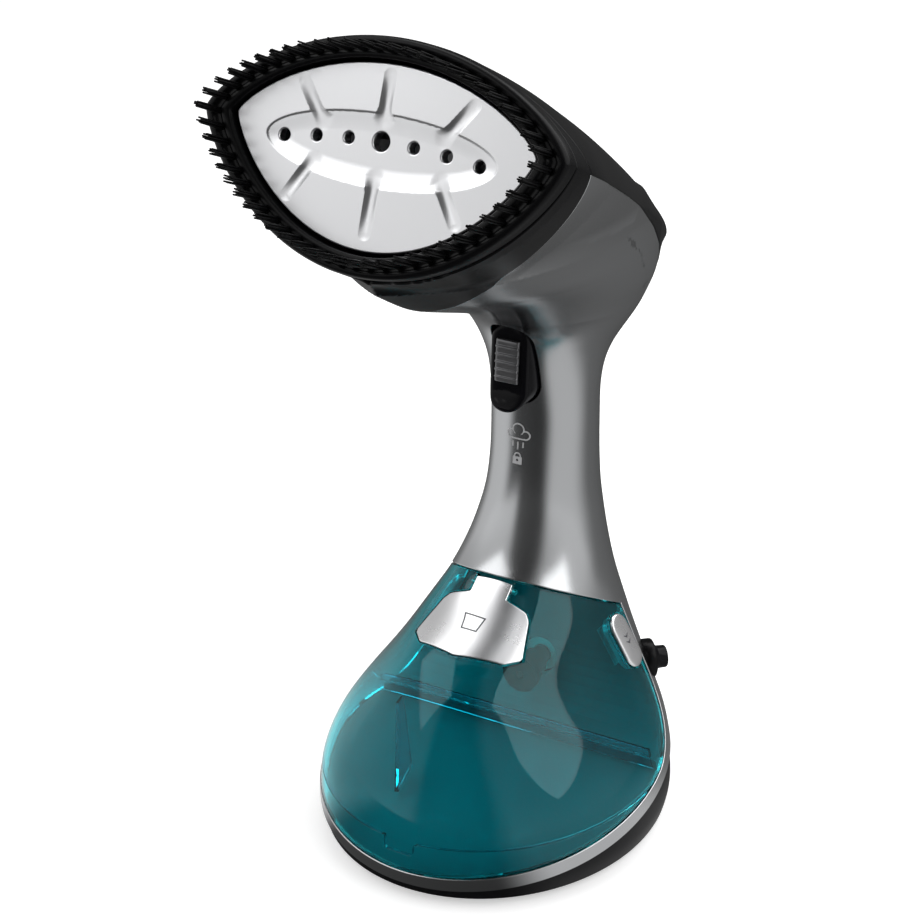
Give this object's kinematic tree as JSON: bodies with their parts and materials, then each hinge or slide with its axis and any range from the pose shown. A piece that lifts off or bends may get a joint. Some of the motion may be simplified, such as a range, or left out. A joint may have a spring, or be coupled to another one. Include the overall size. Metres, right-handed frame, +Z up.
{
  "type": "handheld garment steamer",
  "caption": "Free-standing handheld garment steamer with a tilted steam plate in a bristle brush ring, trigger grip and pull-out water tank.",
  "frame": {"origin": "centre of the base on the floor it stands on", "axes": "+Z up, -Y towards the steam plate, +X towards the side with the cord outlet"},
  "size_m": [0.1208, 0.1589, 0.2863],
  "materials": {
    "silver_paint": "satin silver metallic paint",
    "black_satin": "satin",
    "black_matte": "matt",
    "black_gloss": "gloss",
    "soft_pad": "matt",
    "polished_plate": "polished",
    "cast_aluminium": "cast",
    "silicone_red": "matt",
    "steel": "plain",
    "ceramic_white": "plain",
    "bristle_black": "satin fibre",
    "slider_grey": "satin",
    "red_plastic": "gloss",
    "print_light": "print",
    "print_dark": "print",
    "tank_teal": "clear tinted gloss",
    "seal_grey": "matt",
    "seal_white": "matt",
    "natural_plastic": "plain",
    "flap_silver": "satin silver",
    "button_silver": "satin silver",
    "hose_clear": "translucent",
    "board_green": "plain",
    "board_blue": "plain"
  },
  "bodies": {
    "housing": {"front_shell": "silver_paint", "rear_shell": "silver_paint", "head_cover": "black_satin", "head_shroud": "black_satin", "foot": "black_matte", "sole_pad": "soft_pad", "tank_cradle": "black_matte", "steam_plate": "polished_plate", "plate_gasket": "silicone_red", "steam_chamber": "cast_aluminium", "chamber_lid": "cast_aluminium", "heating_element": "steel", "thermostat": "ceramic_white", "thermal_fuse": "ceramic_white", "chamber_brackets": "steel", "trigger_pin": "steel", "trigger_spring": "steel", "microswitch": "black_matte", "steam_mark": "print_light", "valve_seal": "seal_grey", "valve_socket": "natural_plastic", "pump": "natural_plastic", "pump_mounts": "seal_grey", "suction_hose": "hose_clear", "steam_hose": "hose_clear", "circuit_board": "board_green", "board_parts": "board_blue", "gland_collar": "black_satin", "cord_clamp": "natural_plastic", "handle_screws": "steel", "base_screws": "steel"},
    "brush": {"brush_frame": "black_satin", "bristles": "bristle_black"},
    "trigger": {"trigger": "black_gloss"},
    "lock_slider": {"lock_slider": "slider_grey"},
    "switch_plunger": {"switch_plunger": "red_plastic"},
    "tank": {"tank_shell": "tank_teal", "tank_base": "tank_teal", "tank_baffle": "tank_teal", "outlet_valve": "black_matte", "flap_pin": "steel", "release_springs": "steel"},
    "flap": {"filler_flap": "flap_silver", "jug_mark": "print_dark", "filler_plug": "seal_white"},
    "release_left": {"release_button_left": "button_silver"},
    "release_right": {"release_button_right": "button_silver"},
    "cord_swivel": {"cord_swivel": "black_gloss"}
  },
  "joints": [
    {"name": "trigger_pull", "type": "hinge", "parent": "housing", "child": "trigger", "pos_m": [0, 0.0215, 0.171], "axis": [1, 0, 0], "range_deg": [0, 7], "stiffness_Nm_per_rad": 0.6, "springref_deg": -5.73},
    {"name": "lock_slide", "type": "slide", "parent": "trigger", "child": "lock_slider", "axis": [0, -0.1564, -0.9877], "range_m": [0, 0.005]},
    {"name": "plunger_press", "type": "slide", "parent": "housing", "child": "switch_plunger", "axis": [0, 1, 0], "range_m": [0, 0.0014]},
    {"name": "tank_pull", "type": "slide", "parent": "housing", "child": "tank", "axis": [0, -1, 0], "range_m": [0, 0.11]},
    {"name": "flap_lift", "type": "hinge", "parent": "tank", "child": "flap", "pos_m": [0, 0.0003, 0.0836], "axis": [-1, 0, 0], "range_deg": [0, 95]},
    {"name": "release_left_press", "type": "slide", "parent": "tank", "child": "release_left", "axis": [0.866, 0, -0.5], "range_m": [0, 0.002], "stiffness_N_per_m": 800, "springref_m": -0.002},
    {"name": "release_right_press", "type": "slide", "parent": "tank", "child": "release_right", "axis": [-0.866, 0, -0.5], "range_m": [0, 0.002], "stiffness_N_per_m": 800, "springref_m": -0.002},
    {"name": "brush_lift_off", "type": "slide", "parent": "housing", "child": "brush", "axis": [0, -0.9272, 0.3746], "range_m": [0, 0.02]},
    {"name": "cord_turn", "type": "hinge", "parent": "housing", "child": "cord_swivel", "pos_m": [0.0375, 0.041, 0.045], "axis": [0.7431, 0.6691, 0], "continuous": true}
  ],
  "couplings": [
    {"joint": "plunger_press", "follows": "trigger_pull", "m_per_rad": 0.011}
  ]
}
